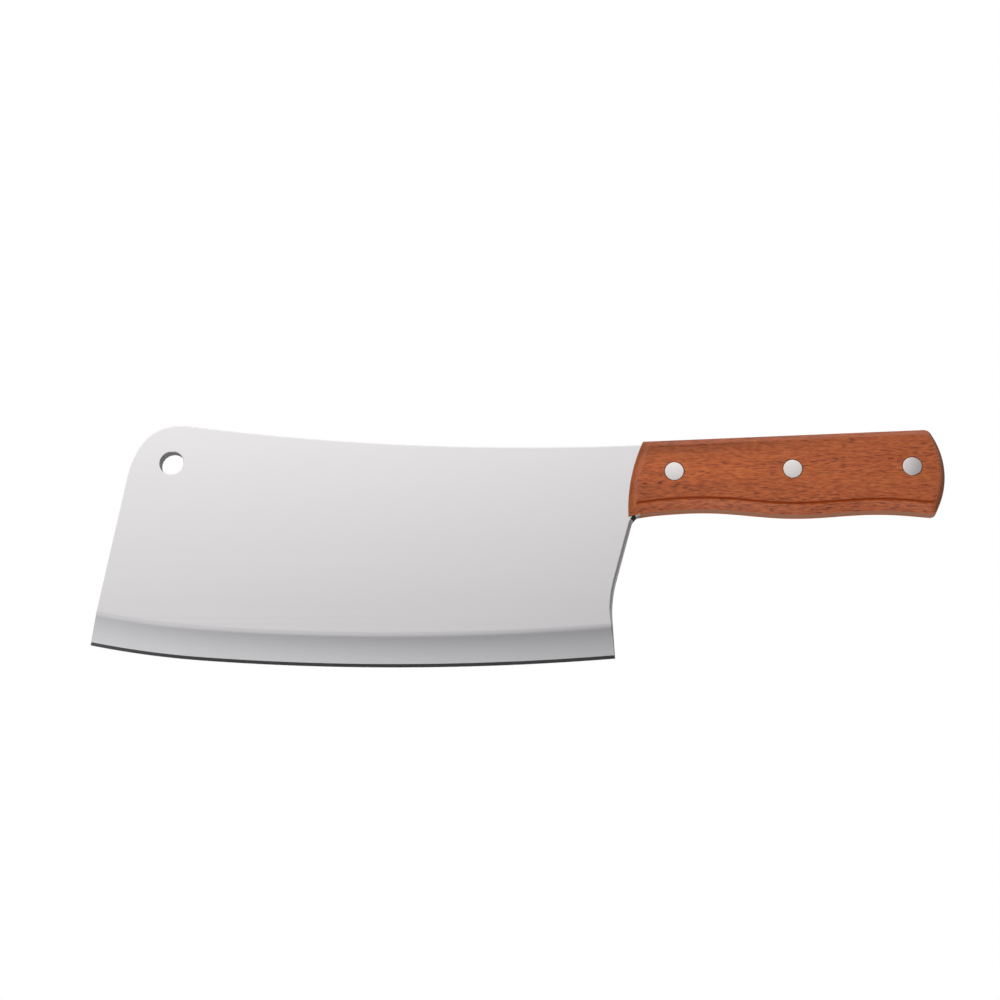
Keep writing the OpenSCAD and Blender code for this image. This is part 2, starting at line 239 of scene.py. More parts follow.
class CleaverRivetSizes(bpy.types.PropertyGroup):
    """Sizes of the pressed rivets"""
    head_diameter: length("Head diameter", 0.0074, "Diameter of a rivet's head")
    head_thickness: length("Head thickness", 0.0014, "Thickness of a rivet's head")
    socket_diameter: length("Socket diameter", 0.005, "Outer diameter of a rivet's socket")
    stud_diameter: length("Stud diameter", 0.003, "Diameter of a rivet's stud")
    pitch: length("Pitch", 0.0451, "Distance between rivets")
    inset: length("Inset", 0.0177, "From the front of the grip to the first rivet")
    up: length("Rivets up", 0.0001, "Height above halfway from the grip's top to its front underside")
    gap: length("Gap", 0.00005, "Gap round each rivet in its hole")
    socket_past: length("Socket past", 0.0012, "How far the socket reaches past the tang into the far scale")
    stud_room: length("Stud room", 0.001, "Room left under the end of the stud")
    socket_floor: length("Socket floor", 0.002, "Metal left under the socket's bore")
    head_ease: length("Head ease", 0.00025, "Reach of the eased rim of a head")


class CleaverFinish(bpy.types.PropertyGroup):
    """Colours and gloss of the steel, the wood and the rivets"""
    steel: colour("Steel", (0.7, 0.682, 0.694), "Colour of the blade's satin steel")
    bevel: colour("Bevel", (0.745, 0.74, 0.758), "Colour of the ground bevel")
    honed: colour("Honed", (0.5, 0.5, 0.51), "Colour of the honed edge")
    tang: colour("Tang", (0.38, 0.15, 0.068), "Colour of the lacquer left on the tang's edge")
    # Painted shade: near black for the throat's hollow under the grip, which lies in shade
    throat: colour("Throat", (0.05, 0.046, 0.045), "Colour of the dark scale left in the throat")
    rivet: colour("Rivet", (0.675, 0.64, 0.628), "Colour of the rivets")
    wood_light: colour("Wood, light", (0.625, 0.158, 0.046), "Light streaks of the wood")
    wood_body: colour("Wood, body", (0.535, 0.122, 0.032), "Main colour of the wood")
    wood_dark: colour("Wood, dark", (0.41, 0.09, 0.028), "Dark streaks of the wood")
    wood_pore: colour("Wood, pores", (0.12, 0.03, 0.016), "Colour of the pores")
    wood_end: colour("Wood, end grain", (0.18, 0.06, 0.022), "Colour of the end grain")
    # Painted shade: the dark line along the lower crease, on the grip's underside only
    crease_shade: colour("Wood, crease", (0.255, 0.033, 0.004), "Colour along the lower crease")
    steel_roughness: share("Steel roughness", 0.24, "Roughness of the satin steel and the bevel")
    honed_roughness: share("Honed roughness", 0.16, "Roughness of the honed edge")
    tang_roughness: share("Tang roughness", 0.5, "Roughness of the tang's edge and the throat")
    rivet_roughness: share("Rivet roughness", 0.15, "Roughness of the ground rivet heads")
    wood_roughness: share("Wood roughness", 0.4, "Roughness of the lacquered wood")
    wood_gloss: share("Wood gloss", 0.28, "Specular level of the lacquered wood")
    dull_gloss: share("Dull wood gloss", 0.04, "Specular level of the end grain and the crease")


class CleaverStageSizes(bpy.types.PropertyGroup):
    """Place of the camera and size of the floor"""
    target_x: length("Target X", -0.00642, "Where the camera looks, along the cleaver")
    target_y: length("Target Y", 0.01838, "Where the camera looks, across the cleaver")
    camera_x: length("Camera X", 0.070, "From the target to the camera, along the cleaver")
    camera_y: length("Camera Y", -0.240, "From the target to the camera, across the cleaver")
    camera_z: length("Camera Z", 0.750, "From the target up to the camera")
    lens: FloatProperty(name="Lens", description="Focal length in mm, on a sensor 36 mm wide", default=73.13,
                        unit="CAMERA")
    floor_size: length("Floor", 6.0, "Side of the square floor")


def unit(vector):
    """The vector divided by its length."""
    return vector / np.linalg.norm(vector)


def round_points(centre, radius, angles):
    """Points on a circle: the centre plus the radius times the cosine and sine of each angle."""
    return centre + radius * np.stack([np.cos(angles), np.sin(angles)], -1)


def line(start, end, count):
    """Points spaced evenly from start to end, both included."""
    return start + (end - start) * np.linspace(0, 1, count)[:, None]


def conic(start, corner, end, pull, count):
    """Rational quadratic curve: start, corner and end weighted (1-t)^2, 2*pull*t*(1-t) and t^2."""
    t = np.linspace(0, 1, count)[:, None]
    first, middle, last = (1 - t) ** 2, 2 * pull * t * (1 - t), t ** 2
    return (first * start + middle * corner + last * end) / (first + middle + last)


class Plan:
    """The cleaver's outlines, seen from above, with u to the butt and v to the spine."""

    def __init__(self, blade, grip, rivets):
        self.blade, self.grip = blade, grip
        self.edge_centre = np.array([-blade.edge_low_back, blade.edge_radius])
        self.rise_angle = DOWNWARD - math.asin(blade.rise_back / blade.edge_radius)
        self.heel_angle = DOWNWARD + math.asin(blade.edge_low_back / blade.edge_radius)
        rise = round_points(self.edge_centre, blade.edge_radius, self.rise_angle)
        self.rise_centre = rise + blade.rise_radius * unit(self.edge_centre - rise)
        self.tip_angle = DOWNWARD - math.asin((self.rise_centre[0] + blade.edge_length) / blade.rise_radius)
        self.tip = round_points(self.rise_centre, blade.rise_radius, self.tip_angle)
        self.heel = round_points(self.edge_centre, blade.edge_radius, self.heel_angle)
        self.spine_centre = np.array([-blade.spine_low_back, blade.height + blade.spine_radius])
        self.tip_up = np.array([math.sin(blade.tip_lean), math.cos(blade.tip_lean)])
        across = self.tip_up @ (self.tip - self.spine_centre)
        gap = np.sum((self.tip - self.spine_centre) ** 2) - blade.spine_radius ** 2
        self.corner = self.tip + (-across - math.sqrt(across ** 2 - gap)) * self.tip_up
        inward = np.array([self.tip_up[1], -self.tip_up[0]])
        self.hang = (self.corner - blade.hang_from_spine / math.cos(blade.tip_lean) * self.tip_up
                     + blade.hang_from_tip * inward)
        self.top_slope = (grip.butt_height - grip.drop - grip.front_height) / grip.length
        self.front_centre = np.array([grip.out + grip.front_radius, grip.up + grip.front_up])
        self.butt_centre = np.array([grip.out + grip.length - grip.butt_radius,
                                     grip.up - grip.drop + grip.butt_up])
        u = grip.out + rivets.inset + rivets.pitch * np.arange(len(RIVET_PLACES))
        self.rivet_points = np.stack([u, (self.top(u, 0) + grip.up) / 2 + rivets.up], 1)
        slope = (blade.thickness - blade.honed_thickness) / 2 / (blade.bevel_width - blade.honed_width)
        self.shoulder_reach = blade.shoulder_ease / slope
        self.steel = self.steel_outline()
        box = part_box("blade")
        self.shift = np.array([box[0].x, box[0].y]) - self.steel.min(0)

    def top(self, u, drawn_in):
        """Height of the grip's straight top at u, drawn in square to itself."""
        rise = self.grip.up + self.grip.front_height + self.top_slope * (u - self.grip.out)
        return rise - drawn_in * math.sqrt(1 + self.top_slope ** 2)

    def under(self, u, drawn_in):
        """Height of the underside at u: a fall to the butt, less a cosine with its belly at wave_back.

        The front dips by a square that runs out over dip_length.
        """
        grip = self.grip
        phase = 2 * math.pi * (u - grip.out - grip.wave_back) / grip.wave_length
        fall = grip.drop * (u - grip.out) / grip.length
        dip = grip.front_dip * np.maximum(1 - (u - grip.out) / grip.dip_length, 0) ** 2
        return grip.up - fall - grip.wave_depth / 2 * np.cos(phase) - dip + drawn_in

    def top_angle(self, centre, radius, drawn_in, side):
        """Angle on a circle where it meets the grip's top, after or before the upright."""
        normal = unit(np.array([-self.top_slope, 1]))
        height = normal @ (np.array([centre[0], self.top(centre[0], drawn_in)]) - centre)
        return math.pi / 2 + math.atan(self.top_slope) - side * math.acos(height / radius)

    def under_angle(self, centre, radius, drawn_in, side):
        """Angle on a circle where it meets the underside, found by closing in twice."""
        u = centre[0] + side * radius
        for _ in range(2):
            u = centre[0] + side * math.sqrt(radius ** 2 - (self.under(u, drawn_in) - centre[1]) ** 2)
        tilt = math.asin((self.under(u, drawn_in) - centre[1]) / radius)
        return tilt if side > 0 else math.pi - tilt

    def front_run(self, drawn_in):
        """The grip's front end, from the top down to the underside."""
        radius = self.grip.front_radius - drawn_in
        high = self.top_angle(self.front_centre, radius, drawn_in, -1)
        low = self.under_angle(self.front_centre, radius, drawn_in, -1)
        return round_points(self.front_centre, radius, np.linspace(high, low, FRONT_POINTS))

    def butt_run(self, drawn_in):
        """The butt, from the underside up to the top, with both corners eased."""
        ease = self.grip.butt_ease
        radius = self.grip.butt_radius - drawn_in * self.grip.butt_facet_width / self.grip.facet_width
        low = self.under_angle(self.butt_centre, radius, drawn_in, 1)
        high = self.top_angle(self.butt_centre, radius, drawn_in, 1)
        turn = ease / radius
        arc = round_points(self.butt_centre, radius, np.linspace(low + turn, high - turn, BUTT_POINTS))
        ends = round_points(self.butt_centre, radius, np.array([low, high]))
        low_u, high_u = ends[:, 0] - ease
        below = conic(np.array([low_u, self.under(low_u, drawn_in)]), ends[0], arc[0], ARC_PULL, EASE_POINTS)
        above = conic(arc[-1], ends[1], np.array([high_u, self.top(high_u, drawn_in)]), ARC_PULL, EASE_POINTS)
        return np.concatenate([below, arc[1:-1], above])

    def under_run(self, start_u, end_u, drawn_in):
        """The underside between two places, without its ends."""
        u = np.linspace(start_u, end_u, UNDER_POINTS + 2)[1:-1]
        return np.stack([u, self.under(u, drawn_in)], 1)

    def grip_outline(self, drawn_in):
        """A scale's outline drawn in all round, always with as many points, so that outlines pair up."""
        front, butt = self.front_run(drawn_in), self.butt_run(drawn_in)
        under = self.under_run(front[-1, 0], butt[0, 0], drawn_in)
        return np.concatenate([front, under, butt, line(butt[-1], front[0], TOP_POINTS)[1:-1]])

    def edge_run(self, distance, counts):
        """Both arcs of the cutting edge, drawn in by a distance, from the tip to the heel corner."""
        rise = round_points(self.rise_centre, self.blade.rise_radius - distance,
                            np.linspace(self.tip_angle, self.rise_angle, counts[0]))
        edge = round_points(self.edge_centre, self.blade.edge_radius - distance,
                            np.linspace(self.rise_angle, self.heel_angle, counts[1]))
        return np.concatenate([rise, edge[1:]])

    def steel_outline(self):
        """The steel's outline: heel, tang, spine, tip corner, tip end, and back along the cutting edge."""
        blade = self.blade
        waist = self.heel + np.array([-blade.waist_in, blade.waist_height])
        throat = np.array([blade.throat_out, self.under(blade.throat_out, 0)])
        to_waist, to_throat = unit(waist - self.heel), unit(throat - waist)
        throat_u = blade.throat_out + blade.throat_bend
        throat_end = np.array([throat_u, self.under(throat_u, 0)])
        bend = conic(waist - blade.waist_bend * to_waist, waist, waist + blade.waist_bend * to_throat,
                     BEND_PULL, BEND_POINTS)
        hollow = conic(throat - blade.throat_bend * to_throat, throat, throat_end, THROAT_PULL, THROAT_POINTS)
        butt, seam = self.butt_run(0), self.front_run(0)[0]
        under = self.under_run(throat_u, butt[0, 0], 0)
        ramp_u = seam[0] + blade.tang_ramp
        top = line(butt[-1], np.array([ramp_u, self.top(ramp_u, 0)]), TOP_POINTS)
        seam_angle = DOWNWARD + math.asin((seam[0] - self.spine_centre[0]) / blade.spine_radius)
        corner_angle = math.atan2(*(self.corner - self.spine_centre)[::-1]) + 2 * math.pi
        round_angle = corner_angle + blade.corner_along / blade.spine_radius
        spine = round_points(self.spine_centre, blade.spine_radius,
                             np.linspace(seam_angle, round_angle, SPINE_POINTS))
        corner = conic(spine[-1], self.corner, self.corner - blade.corner_down * self.tip_up,
                       BEND_PULL, CORNER_POINTS)
        tip_end = line(corner[-1], self.tip, TIP_POINTS)
        edge = self.edge_run(0, EDGE_POINTS)
        heel = line(edge[-1], bend[0], HEEL_POINTS)
        return np.concatenate([bend, hollow[1:], under, butt, top[1:], spine, corner[1:], tip_end[1:],
                               edge[1:], heel[1:-1]])

    def edge_distance(self, points):
        """Distance in from the cutting edge: the radius less the distance to the centre of the nearer arc."""
        ray = self.edge_centre - self.rise_centre
        offset = points - self.rise_centre
        on_rise = ray[0] * offset[..., 1] - ray[1] * offset[..., 0] > 0
        long_arc = self.blade.edge_radius - np.linalg.norm(points - self.edge_centre, axis=-1)
        rise_arc = self.blade.rise_radius - np.linalg.norm(offset, axis=-1)
        return np.where(on_rise, rise_arc, long_arc)

    def half_thickness(self, points):
        """Half the steel's thickness: straight over the honed edge, hollow over the bevel and level beyond.

        Bevel and level meet by a smooth minimum, the lesser of both less (ease - gap)^2 / (4 ease).
        """
        blade = self.blade
        distance = np.maximum(self.edge_distance(points), 0)
        keen, honed, level = (t / 2 for t in (blade.keen_thickness, blade.honed_thickness, blade.thickness))
        edge = keen + (honed - keen) * distance / blade.honed_width
        along = (distance - blade.honed_width) / (blade.bevel_width - blade.honed_width)
        hollow = 4 * blade.bevel_hollow * along * (1 - along)
        bevel = honed + (level - honed) * along - hollow
        beyond = honed + (level - honed) * along + 4 * blade.bevel_hollow * (along - 1)
        bevel = np.where(along > 1, beyond, bevel)
        ease = blade.shoulder_ease
        eased = np.minimum(bevel, level) - np.maximum(ease - np.abs(bevel - level), 0) ** 2 / (4 * ease)
        return np.where(distance < blade.honed_width, edge, eased)

    def bevel_lines(self):
        """Lines at set distances in from the edge, which carry the shape of the grind."""
        blade = self.blade
        shoulder = blade.bevel_width + self.shoulder_reach * np.linspace(-1, 1, GRIND_LINES)
        honed = blade.honed_width + BORDER_STEP * blade.honed_width * np.array([-1, 0, 1])
        between = np.linspace(honed[-1], shoulder[0], GRIND_LINES)[1:-1]
        return [self.edge_run(distance, GRIND_POINTS) for distance in (*honed, *between, *shoulder)]


def inward_normals(outline):
    """Unit normals of a closed outline that point into it, from the chord between each point's neighbours."""
    chord = np.roll(outline, -1, 0) - np.roll(outline, 1, 0)
    normal = np.stack([-chord[:, 1], chord[:, 0]], 1)
    normal /= np.linalg.norm(normal, axis=1)[:, None]
    following = np.roll(outline, -1, 0)
    area = np.sum(outline[:, 0] * following[:, 1] - outline[:, 1] * following[:, 0])
    return normal if area > 0 else -normal


def inside(points, outline):
    """Whether each point lies in a closed outline, by counting the sides that a ray to the right crosses."""
    start, end = outline, np.roll(outline, -1, 0)
    x, y = points[:, 0, None], points[:, 1, None]
    spans = (start[:, 1] > y) != (end[:, 1] > y)
    height = np.where(end[:, 1] == start[:, 1], 1, end[:, 1] - start[:, 1])
    cross = start[:, 0] + (y - start[:, 1]) / height * (end[:, 0] - start[:, 0])
    return (np.sum(spans & (x < cross), axis=1) % 2) == 1


def clear_of(points, outline, room):
    """Whether each point is further than room from every point of an outline."""
    gap = np.linalg.norm(points[:, None, :] - outline[None, :, :], axis=2)
    return gap.min(1) > room


class Shell:
    """Collects grids and fills of a piece, then welds them into one closed mesh."""

    def __init__(self):
        self.points, self.faces, self.zones, self.marks, self.count = [], [], [], [], 0

    def add(self, points, faces, zone=0, mark=None):
        """Adds points, shape (n, 3), and faces that index them, with a material zone and a mark per point."""
        self.points.append(np.array(points, float))
        self.faces += [[int(i) + self.count for i in face] for face in faces]
        self.zones += list(np.broadcast_to(zone, len(faces)))
        self.marks.append(np.zeros(len(points)) if mark is None else mark)
        self.count += len(points)

    def grid(self, rings, zone=0, mark=None):
        """Adds a grid of closed rings, shape (rings, points, 3), with a four-sided face in each cell."""
        rows, columns = rings.shape[:2]
        i, j = np.meshgrid(np.arange(rows - 1), np.arange(columns), indexing="ij")
        k = (j + 1) % columns
        faces = np.stack([i * columns + j, i * columns + k, (i + 1) * columns + k, (i + 1) * columns + j], -1)
        marks = None if mark is None else mark.reshape(-1)
        self.add(rings.reshape(-1, 3), faces.reshape(-1, 4), zone, marks)

    def object(self, name, materials, mark_name=None):
        """The welded, outward-facing mesh as an object, shaded smooth but for its sharp edges."""
        mesh = bpy.data.meshes.new(name)
        points = np.concatenate(self.points)
        mesh.from_pydata(points, [], self.faces)
        mesh.polygons.foreach_set("material_index", np.array(self.zones, dtype=np.int32))
        if mark_name:
            marks = mesh.attributes.new(mark_name, "FLOAT", "POINT")
            marks.data.foreach_set("value", np.concatenate(self.marks).astype(np.float32))
        shape = bmesh.new()
        shape.from_mesh(mesh)
        bmesh.ops.remove_doubles(shape, verts=shape.verts, dist=WELD)
        bmesh.ops.recalc_face_normals(shape, faces=shape.faces)
        shape.to_mesh(mesh)
        shape.free()
        for material in materials:
            mesh.materials.append(material)
        mesh.shade_smooth()
        mesh.set_sharp_from_angle(angle=SHARP_ANGLE)
        piece = bpy.data.objects.new(name, mesh)
        bpy.context.scene.collection.objects.link(piece)
        weighted = piece.modifiers.new("Face weighted normals", "WEIGHTED_NORMAL")
        weighted.keep_sharp = True
        return piece


def fill(outline, holes=(), lines=()):
    """Triangles that fill an outline round its holes and along its lines, as points and faces."""
    points, sides = [], []
    for run, closed in [(ring, True) for ring in (outline, *holes)] + [(run, False) for run in lines]:
        first = sum(len(p) for p in points)
        order = np.arange(len(run) if closed else len(run) - 1)
        sides += np.stack([first + order, first + (order + 1) % len(run)], 1).tolist()
        points.append(run)
    flat = [Vector(p) for p in np.concatenate(points).tolist()]
    within_outline, tolerance = 1, 1e-8
    found, _, faces, _, _, _ = delaunay_2d_cdt(flat, sides, [], within_outline, tolerance)
    found = np.array([p[:] for p in found])
    faces = np.array(faces)
    middles = found[faces].mean(1)
    keep = np.ones(len(faces), bool)
    for hole in holes:
        keep &= ~inside(middles, hole)
    return found, faces[keep]


def circle(centre, radius):
    """A closed ring of points round a centre."""
    return round_points(centre, radius, np.linspace(0, 2 * math.pi, CIRCLE_POINTS, endpoint=False))


def raised(flat, height):
    """Flat points lifted to a height, one for all or one for each."""
    return np.column_stack([flat, np.broadcast_to(height, len(flat))])


def eased_profile(corners, reach, count):
    """An open run of straight stretches whose inner corners are rounded by conics of the given reach."""
    corners = [np.array(c, float) for c in corners]
    runs = [corners[:1]]
    for before, corner, after in zip(corners, corners[1:], corners[2:]):
        shorter = min(np.linalg.norm(before - corner), np.linalg.norm(after - corner))
        near = min(reach, EASE_SHARE * shorter)
        runs.append(conic(corner + near * unit(before - corner), corner,
                          corner + near * unit(after - corner), CREASE_PULL, count))
    runs.append(corners[-1:])
    return np.concatenate(runs)


def empty_tree(owner):
    """The node tree of a material or world, emptied."""
    owner.use_nodes = True
    owner.node_tree.nodes.clear()
    return owner.node_tree


def feed(tree, made, **links):
    """A node after its inputs are set or linked, by name with _ for a space, or by number as i0, i1."""
    for key, value in links.items():
        numbered = key[0] == "i" and key[1:].isdigit()
        socket = made.inputs[int(key[1:]) if numbered else key.replace("_", " ")]
        if isinstance(value, bpy.types.NodeSocket):
            tree.links.new(value, socket)
        else:
            socket.default_value = value
    return made


def node(tree, kind, settings=None, **links):
    """A new shader node with its settings and inputs."""
    made = tree.nodes.new("ShaderNode" + kind)
    for key, value in (settings or {}).items():
        setattr(made, key, value)
    return feed(tree, made, **links)


def maths(tree, operation, a, b=0.0, c=0.0):
    """The result of a Math node."""
    return node(tree, "Math", {"operation": operation}, i0=a, i1=b, i2=c).outputs[0]


def weighted_sum(tree, *parts):
    """The sum of some values, each times its weight."""
    whole = 0.0
    for value, weight in parts:
        whole = maths(tree, "MULTIPLY_ADD", value, weight, whole)
    return whole


def vector_maths(tree, operation, a, b=(0, 0, 0)):
    """The result of a Vector Math node, which is a number for a dot product or a length."""
    made = node(tree, "VectorMath", {"operation": operation}, i0=a, i1=b)
    return made.outputs["Value" if operation in ("DOT_PRODUCT", "LENGTH") else "Vector"]


def scaled(tree, shade, factor):
    """A colour times a number."""
    return node(tree, "VectorMath", {"operation": "SCALE"}, i0=shade, Scale=factor).outputs[0]


def remap(tree, value, low, high, to_low=0.0, to_high=1.0):
    """A value's range from low to high, brought to another range and held in it."""
    made = node(tree, "MapRange", {"clamp": True}, Value=value, From_Min=low, From_Max=high,
                To_Min=to_low, To_Max=to_high)
    return made.outputs["Result"]


def varied(tree, mask, middle, part):
    """A number that follows a mask from 0 to 1, by a part of its middle value either way."""
    return remap(tree, mask, 0.0, 1.0, middle * (1 - part), middle * (1 + part))


def curve(tree, value, stops, low, high, full, interpolation="CARDINAL"):
    """A smooth curve through stops, each a place from low to high and a level, as a grey of level / full."""
    made = node(tree, "ValToRGB", Fac=remap(tree, value, low, high))
    made.color_ramp.interpolation = interpolation
    while len(made.color_ramp.elements) < len(stops):
        made.color_ramp.elements.new(0.5)
    for element, (place, level) in zip(made.color_ramp.elements, stops):
        element.position = (place - low) / (high - low)
        element.color = (*[level / full] * 3, 1)
    return made.outputs["Color"]


def mix_colour(tree, factor, a, b, blend="MIX"):
    """The result of mixing two colours, which are sockets 6 and 7 of a Mix node, and its output 2."""
    a, b = (c if isinstance(c, bpy.types.NodeSocket) else (*c, 1) for c in (a, b))
    return node(tree, "Mix", {"data_type": "RGBA", "blend_type": blend}, i0=factor, i6=a, i7=b).outputs[2]


def grind_group():
    """Fine grinding marks: noise drawn out along one axis, as a mask from 0 to 1, in two sizes."""
    name = "Grind Marks"
    if name in bpy.data.node_groups:
        return bpy.data.node_groups[name]
    group = bpy.data.node_groups.new(name, "ShaderNodeTree")
    for label in ("Vector", "Turn", "Stretch", "Broad Stretch"):
        group.interface.new_socket(name=label, in_out="INPUT", socket_type="NodeSocketVector")
    for label in MARK_SIZES:
        group.interface.new_socket(name=label, in_out="OUTPUT", socket_type="NodeSocketFloat")
    given, result = group.nodes.new("NodeGroupInput").outputs, group.nodes.new("NodeGroupOutput")
    turned = node(group, "Mapping", Vector=given["Vector"], Rotation=given["Turn"]).outputs[0]
    for label, (stretch, detail) in MARK_SIZES.items():
        drawn = vector_maths(group, "MULTIPLY", turned, given[stretch])
        noise = node(group, "TexNoise", Vector=drawn, Scale=1.0, Detail=detail, Roughness=MARK_NOISE)
        group.links.new(remap(group, noise.outputs["Fac"], *MARK_RANGE), result.inputs[label])
    return group


def new_material(name):
    """A node material, its tree, its Principled shader and its Object coordinates."""
    material = bpy.data.materials.new(name)
    tree = empty_tree(material)
    shader = node(tree, "BsdfPrincipled")
    node(tree, "OutputMaterial", Surface=shader.outputs[0])
    return material, tree, shader, node(tree, "TexCoord").outputs["Object"]


def ground_surface(name, base, roughness, metallic=1.0):
    """A surface with grinding marks that vary its colour, roughness and height."""
    turn, stretch, broad, contrast, depth = MARKS[name]
    material, tree, shader, place = new_material(name)
    marks = node(tree, "Group", {"node_tree": grind_group()}, Vector=place,
                 Turn=(0, 0, math.radians(turn)), Stretch=stretch, Broad_Stretch=broad).outputs
    both = weighted_sum(tree, (marks["Fine"], FINE_SHARE), (marks["Broad"], 1 - FINE_SHARE))
    feed(tree, shader, Metallic=metallic, Roughness=varied(tree, both, roughness, MARK_GLOSS),
         Base_Color=scaled(tree, tuple(base), varied(tree, both, 1.0, contrast)),
         Normal=node(tree, "Bump", Strength=1.0, Distance=depth, Height=marks["Fine"]).outputs[0])
    return material


def wood_material(name, finish, plan, gloss):
    """Reddish lacquered wood: mottled streaks and pores drawn out along X, with a set specular level.

    The front half is toned by depth below the grip's straight top line, level plus slope * x - y: darker just
    inside the top crease, lighter across the middle. The wood is a little darker at both ends of the grip.
    The attribute "crease" is above 0 where shade is painted along the lower crease, and below 0 on end grain.
    """
    material, tree, shader, place = new_material(name)
    streaks = {}
    for kind, (stretch, detail, roughness, low, high) in STREAKS.items():
        drawn = node(tree, "Mapping", Vector=place, Scale=stretch).outputs[0]
        noise = node(tree, "TexNoise", Vector=drawn, Scale=1.0, Detail=detail, Roughness=roughness)
        streaks[kind] = remap(tree, noise.outputs["Fac"], low, high)
    thinned = remap(tree, streaks["bands"], *PORE_BANDS, 1.0, PORES_LEFT)
    pores = maths(tree, "MULTIPLY", streaks["pores"], thinned)
    tone = weighted_sum(tree, *((streaks[kind], weight) for kind, weight in TONE_SHARES.items()))
    base = mix_colour(tree, remap(tree, tone, DARK_TONE, BODY_TONE), finish.wood_dark, finish.wood_body)
    base = mix_colour(tree, remap(tree, tone, BODY_TONE, LIGHT_TONE), base, finish.wood_light)
    base = mix_colour(tree, maths(tree, "MULTIPLY", pores, PORE_STRENGTH), base, finish.wood_pore)
    level = plan.top(-plan.shift[0], 0) + plan.shift[1]
    depth = maths(tree, "ADD", vector_maths(tree, "DOT_PRODUCT", place, (plan.top_slope, -1, 0)), level)
    # Tone by depth below the top line: darker just inside the top crease, lighter across the middle
    ring = curve(tree, depth, DEPTH_TONES, 0.0, DEPTH_SPAN, TONE_FULL, "B_SPLINE")
    along = node(tree, "SeparateXYZ", i0=place).outputs["X"]
    fade = remap(tree, along, *DEPTH_TONE_FADE, 0.0, DEPTH_TONE_LOSS)
    base = mix_colour(tree, 1.0, base, mix_colour(tree, fade, ring, [1 / TONE_FULL] * 3), "MULTIPLY")
    ends = maths(tree, "ADD", remap(tree, along, *FRONT_FADE), remap(tree, along, *BUTT_FADE))
    base = scaled(tree, base, remap(tree, ends, 0.0, 1.0, TONE_FULL, TONE_FULL * END_SHADE))
    mark = node(tree, "Attribute", {"attribute_name": "crease"}).outputs["Fac"]
    # Painted shade along the lower crease, where the mark is above 0
    base = mix_colour(tree, remap(tree, mark, 0.0, 1.0), base, finish.crease_shade)
    base = mix_colour(tree, remap(tree, mark, 0.0, -1.0, 0.0, END_STRENGTH), base, finish.wood_end)
    height = maths(tree, "SUBTRACT", maths(tree, "MULTIPLY", streaks["fibres"], FIBRE_HEIGHT), pores)
    bump = node(tree, "Bump", Strength=RELIEF_STRENGTH, Distance=RELIEF, Height=height)
    feed(tree, shader, Base_Color=base, Specular_IOR_Level=gloss, Normal=bump.outputs[0],
         Roughness=varied(tree, streaks["fibres"], finish.wood_roughness, FIBRE_GLOSS))
    return material


def dull_cells(mark):
    """Zone of each cell of a closed grid: 1 where its corners' marks have a mean size past DULL_MARK."""
    sizes = np.abs(mark) + np.abs(np.roll(mark, -1, 1))
    return ((sizes[:-1] + sizes[1:]) / 4 > DULL_MARK).reshape(-1).astype(int)


def white_to_camera(tree, kind, output, shader):
    """Puts out a shader, but plain white of a kind where the camera looks straight at it."""
    white = node(tree, kind, Color=(1, 1, 1, 1), Strength=1.0)
    seen = node(tree, "LightPath").outputs["Is Camera Ray"]
    mixed = node(tree, "MixShader", i0=seen, i1=shader.outputs[0], i2=white.outputs[0])
    node(tree, output, Surface=mixed.outputs[0])


def cleaver_plan(scene):
    """The outlines for the scene's sizes."""
    return Plan(scene.cleaver_blade, scene.cleaver_grip, scene.cleaver_rivets)


def middle_height(scene):
    """Height of the steel's middle plane."""
    return scene.cleaver_grip.scale_thickness + scene.cleaver_blade.thickness / 2


def settle(piece, slot, *nodes):
    """Makes a finished piece ride on the body and stand for its nodes, which it hides; slot is not used."""
    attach(piece, BODY)
    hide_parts(*nodes)


